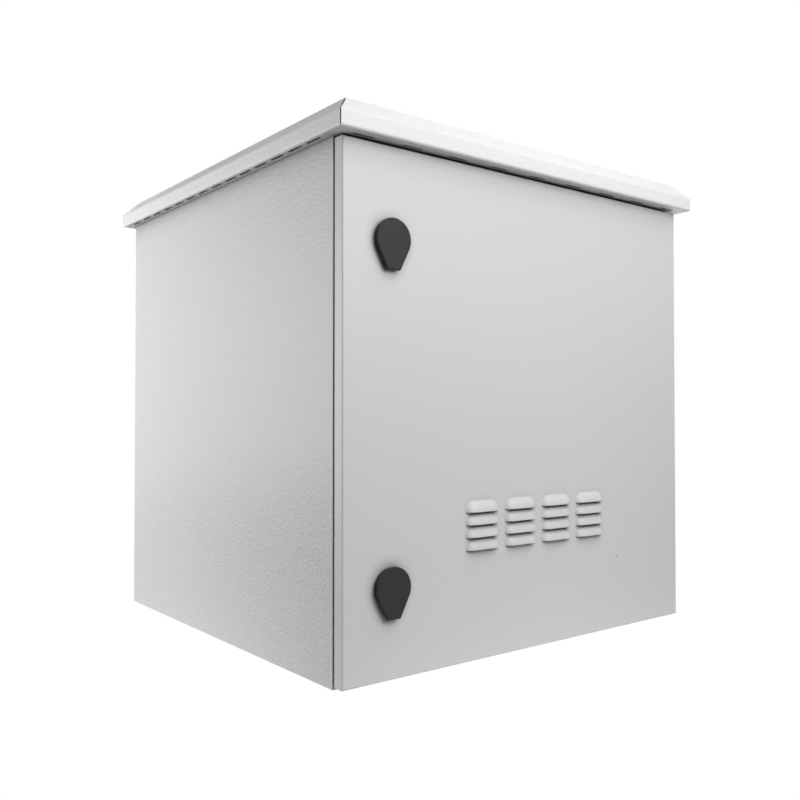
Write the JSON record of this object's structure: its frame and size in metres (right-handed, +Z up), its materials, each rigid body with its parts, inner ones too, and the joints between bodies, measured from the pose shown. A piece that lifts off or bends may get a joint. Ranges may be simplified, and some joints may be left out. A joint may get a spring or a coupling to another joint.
{
  "type": "outdoor utility cabinet",
  "caption": "Wall-hung outdoor equipment cabinet of folded sheet, with an overhanging vented roof, a louvred hinged door, quarter-turn locks, rack rails and roof fans.",
  "frame": {"origin": "on the base plane, under the middle of the roof", "axes": "+X to the right seen from the front, +Y to the back, +Z up"},
  "size_m": [0.628, 0.628, 0.6385],
  "materials": {
    "cabinet_paint": "light grey textured powder coat",
    "zinc_plate": "zinc plated, satin",
    "lock_black": "moulded, dull black",
    "fan_black": "moulded, satin black",
    "black_rubber": "dull",
    "filter_foam": "open foam",
    "earth_brass": "bare, satin"
  },
  "bodies": {
    "cabinet": {"body_wrap": "cabinet_paint", "base_panel": "cabinet_paint", "top_panel": "cabinet_paint", "roof_canopy": "cabinet_paint", "wall_rail_upper": "cabinet_paint", "wall_rail_lower": "cabinet_paint", "roof_bolts": "zinc_plate", "roof_nuts": "zinc_plate", "wall_rail_bolts": "zinc_plate", "side_channel_upper_left": "zinc_plate", "side_channel_upper_right": "zinc_plate", "side_channel_lower_left": "zinc_plate", "side_channel_lower_right": "zinc_plate", "front_rail_left": "zinc_plate", "front_rail_right": "zinc_plate", "rear_rail_left": "zinc_plate", "rear_rail_right": "zinc_plate", "rail_screws": "zinc_plate", "fan_guard_left": "zinc_plate", "fan_guard_right": "zinc_plate", "fan_screws": "zinc_plate", "earth_bar_screws": "zinc_plate", "hinge_bracket_upper": "zinc_plate", "hinge_bracket_lower": "zinc_plate", "hinge_bracket_screws": "zinc_plate", "fan_frame_left": "fan_black", "fan_frame_right": "fan_black", "cable_grommets": "black_rubber", "earth_bar": "earth_brass"},
    "door": {"door_panel": "cabinet_paint", "door_seal": "black_rubber", "door_stiffener_left": "cabinet_paint", "door_stiffener_right": "cabinet_paint", "filter_frame": "zinc_plate", "filter_mat": "filter_foam", "filter_nuts": "zinc_plate", "door_earth_nut": "earth_brass", "hinge_lugs_upper": "zinc_plate", "hinge_lugs_lower": "zinc_plate", "hinge_pin_upper": "zinc_plate", "hinge_pin_lower": "zinc_plate", "lock_housing_upper": "lock_black", "lock_housing_lower": "lock_black", "lock_nut_upper": "zinc_plate", "lock_nut_lower": "zinc_plate"},
    "lock_upper": {"lock_knob_upper": "lock_black", "lock_spindle_upper": "zinc_plate", "lock_cam_upper": "zinc_plate", "cam_screw_upper": "zinc_plate"},
    "lock_lower": {"lock_knob_lower": "lock_black", "lock_spindle_lower": "zinc_plate", "lock_cam_lower": "zinc_plate", "cam_screw_lower": "zinc_plate"},
    "fan_left": {"fan_rotor_left": "fan_black"},
    "fan_right": {"fan_rotor_right": "fan_black"}
  },
  "joints": [
    {"name": "door_hinge", "type": "hinge", "parent": "cabinet", "child": "door", "pos_m": [0.29275, -0.289, 0.3], "axis": [0, 0, 1], "range_deg": [0, 115]},
    {"name": "lock_upper_turn", "type": "hinge", "parent": "door", "child": "lock_upper", "pos_m": [-0.23475, -0.296, 0.4915], "axis": [0, 1, 0], "range_deg": [0, 90]},
    {"name": "lock_lower_turn", "type": "hinge", "parent": "door", "child": "lock_lower", "pos_m": [-0.23475, -0.296, 0.105], "axis": [0, 1, 0], "range_deg": [0, 90]},
    {"name": "fan_left_spin", "type": "hinge", "parent": "cabinet", "child": "fan_left", "pos_m": [-0.11, 0.0085, 0.585], "axis": [0, 0, 1], "continuous": true},
    {"name": "fan_right_spin", "type": "hinge", "parent": "cabinet", "child": "fan_right", "pos_m": [0.11, 0.0085, 0.585], "axis": [0, 0, 1], "continuous": true}
  ]
}
